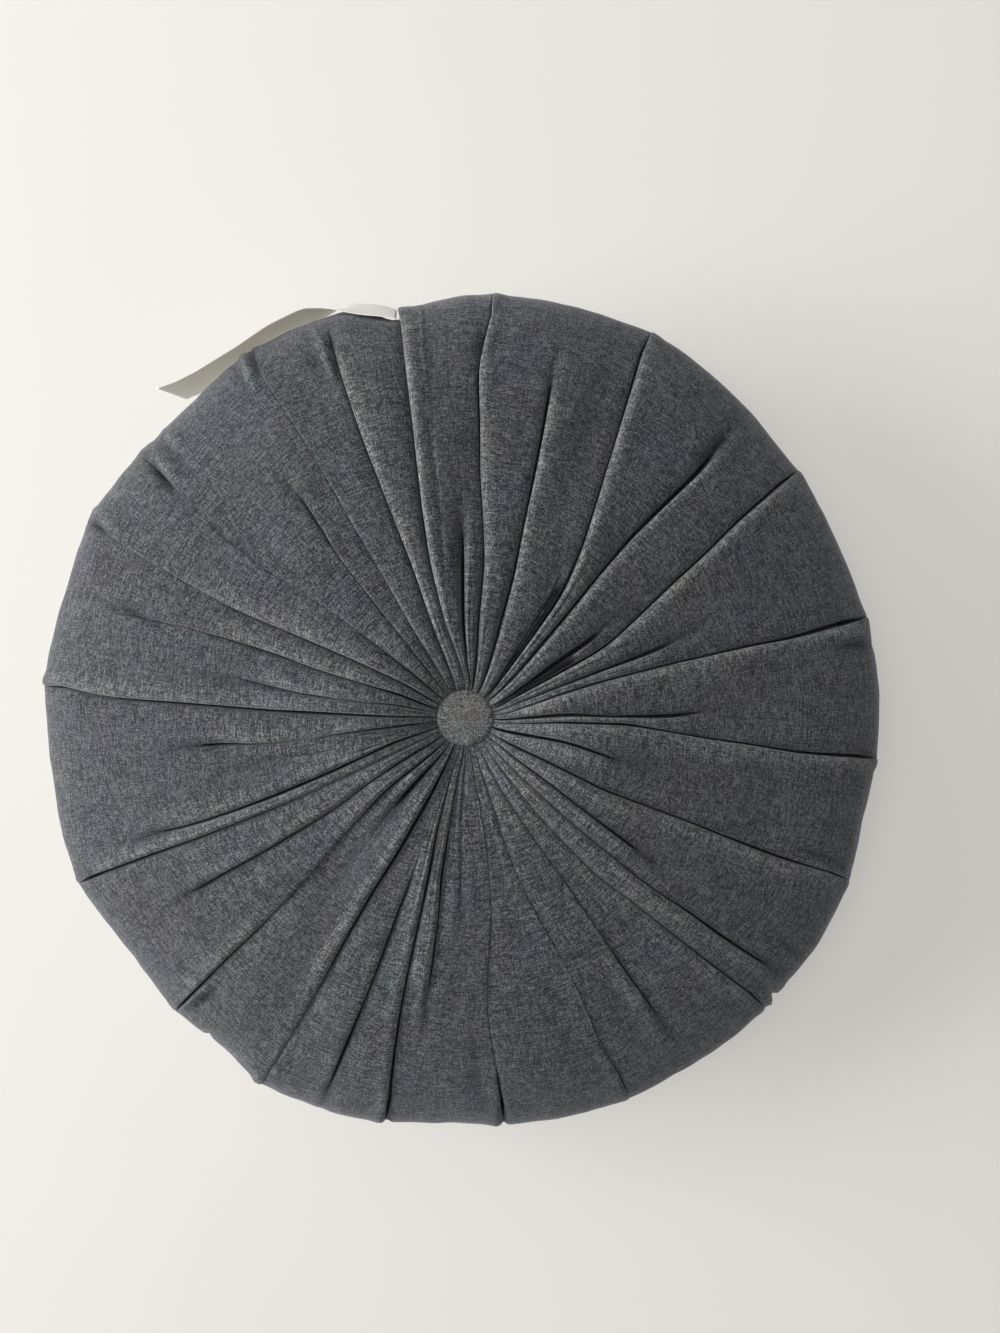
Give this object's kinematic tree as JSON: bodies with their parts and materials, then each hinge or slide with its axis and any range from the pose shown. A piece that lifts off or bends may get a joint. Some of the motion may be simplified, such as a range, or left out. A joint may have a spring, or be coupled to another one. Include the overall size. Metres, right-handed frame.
{
  "type": "tufted round pillow",
  "caption": "Round filled cloth pillow with pleats running from a rounded side to a covered button at the middle of each face, and a care label in the side seam.",
  "frame": {"origin": "centre of the whole part's box in X and Y, on the plane that the flat ring of the back rests on", "axes": "+Z out of the face that is up, +Y towards the side seam and its label, +X to the right as seen from above"},
  "size_m": [0.4022, 0.3998, 0.1009],
  "materials": {
    "cover_cloth": "charcoal melange cloth with a brushed, matt surface",
    "button_cloth": "the cover's cloth drawn tight over a button",
    "label_ribbon": "off-white satin ribbon, no text"
  },
  "bodies": {
    "root": {"cushion": "cover_cloth", "button_front": "button_cloth", "button_back": "button_cloth", "care_label": "label_ribbon"}
  },
  "joints": []
}
